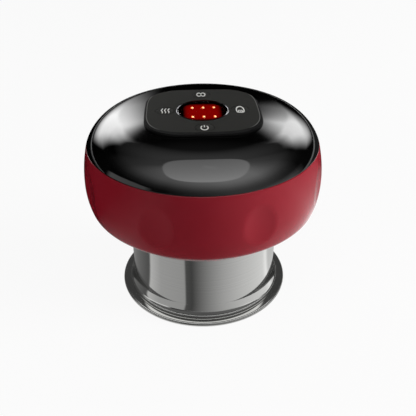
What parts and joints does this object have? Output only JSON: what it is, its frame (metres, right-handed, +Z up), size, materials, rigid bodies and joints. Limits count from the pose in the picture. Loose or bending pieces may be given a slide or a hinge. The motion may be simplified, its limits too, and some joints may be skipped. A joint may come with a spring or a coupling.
{
  "type": "electric cupping massager",
  "caption": "Palm-held suction cupping massager: domed top with touch panel and red lamps, dimpled grip shell, and a flanged metal cup that pulls off below.",
  "frame": {"origin": "centre of the cup rim's underside, on the body's axis", "axes": "+Z up along the body's axis; the power key faces -Y and the charging inlet faces +Y"},
  "size_m": [0.09, 0.09, 0.0748],
  "materials": {
    "red_lacquer": "metallic red lacquer on moulded ABS, satin",
    "black_gloss": "piano-black moulded ABS, polished",
    "panel_smoke": "smoke-black polycarbonate film panel, matt",
    "key_smoke": "smoke-black polycarbonate key, matt",
    "bezel_chrome": "polished plated ring",
    "lens_smoke": "dark red-tinted acrylic window",
    "led_red": "clear-topped red indicator lamps",
    "baffle_red": "moulded light block, lit red by its lamps",
    "cup_metal": "turned and polished, fine lines round the wall",
    "seal_rubber": "black nitrile rubber",
    "socket_black": "black moulded ABS, fine texture",
    "heat_metal": "brushed stainless steel",
    "light_red": "translucent red polycarbonate",
    "board_green": "solder-masked circuit board",
    "lamp_white": "surface-mounted lamp",
    "switch_black": "moulded switch body",
    "steel": "zinc-plated steel",
    "cell_wrap": "metal can under a blue shrink wrap",
    "frame_white": "natural moulded ABS",
    "pump_white": "moulded acetal",
    "silicone": "translucent silicone rubber",
    "filter_foam": "open-cell filter foam",
    "filter_cap": "black moulded cap"
  },
  "bodies": {
    "housing": {"top_dome": "black_gloss", "grip_shell": "red_lacquer", "base_cover": "red_lacquer", "control_panel": "panel_smoke", "display_bezel": "bezel_chrome", "display_lens": "lens_smoke", "display_leds": "led_red", "light_baffle": "baffle_red", "control_board": "board_green", "tact_switches": "switch_black", "board_screws": "steel", "chassis": "frame_white", "battery": "cell_wrap", "pump_motor": "steel", "motor_cushions": "seal_rubber", "pump_housing": "pump_white", "swing_plate": "pump_white", "pump_diaphragm": "seal_rubber", "valve_plate": "pump_white", "pump_cover": "pump_white", "pump_hose": "silicone", "valve_hose": "silicone", "suction_tee": "pump_white", "valve_body": "switch_black", "cup_socket": "socket_black", "cup_seal_ring": "seal_rubber", "heat_plate": "heat_metal", "light_board": "board_green", "therapy_leds": "lamp_white", "light_ring": "light_red", "charging_port": "steel", "charging_board": "board_green", "housing_screws": "steel"},
    "cup": {"suction_cup": "cup_metal"},
    "filter": {"filter_cap": "filter_cap", "filter_pad": "filter_foam"},
    "power_button": {"power_key": "key_smoke"},
    "mode_button": {"mode_key": "key_smoke"},
    "heat_button": {"heat_key": "key_smoke"},
    "suction_button": {"suction_key": "key_smoke"},
    "crank": {"pump_crank": "steel"},
    "plunger": {"valve_plunger": "steel"}
  },
  "joints": [
    {"name": "cup_pull", "type": "slide", "parent": "housing", "child": "cup", "axis": [0, 0, -1], "range_m": [0, 0.012]},
    {"name": "filter_pull", "type": "slide", "parent": "housing", "child": "filter", "axis": [0, 0, -1], "range_m": [0, 0.006]},
    {"name": "power_press", "type": "slide", "parent": "housing", "child": "power_button", "axis": [0, 0, -1], "range_m": [0, 0.0004], "stiffness_N_per_m": 400},
    {"name": "mode_press", "type": "slide", "parent": "housing", "child": "mode_button", "axis": [0, 0, -1], "range_m": [0, 0.0004], "stiffness_N_per_m": 400},
    {"name": "heat_press", "type": "slide", "parent": "housing", "child": "heat_button", "axis": [0, 0, -1], "range_m": [0, 0.0004], "stiffness_N_per_m": 400},
    {"name": "suction_press", "type": "slide", "parent": "housing", "child": "suction_button", "axis": [0, 0, -1], "range_m": [0, 0.0004], "stiffness_N_per_m": 400},
    {"name": "crank_spin", "type": "hinge", "parent": "housing", "child": "crank", "pos_m": [-0.00821, -0.0118, 0.0531], "axis": [1, 0, 0], "continuous": true},
    {"name": "plunger_lift", "type": "slide", "parent": "housing", "child": "plunger", "axis": [0, 0, 1], "range_m": [0, 0.001], "stiffness_N_per_m": 300}
  ]
}
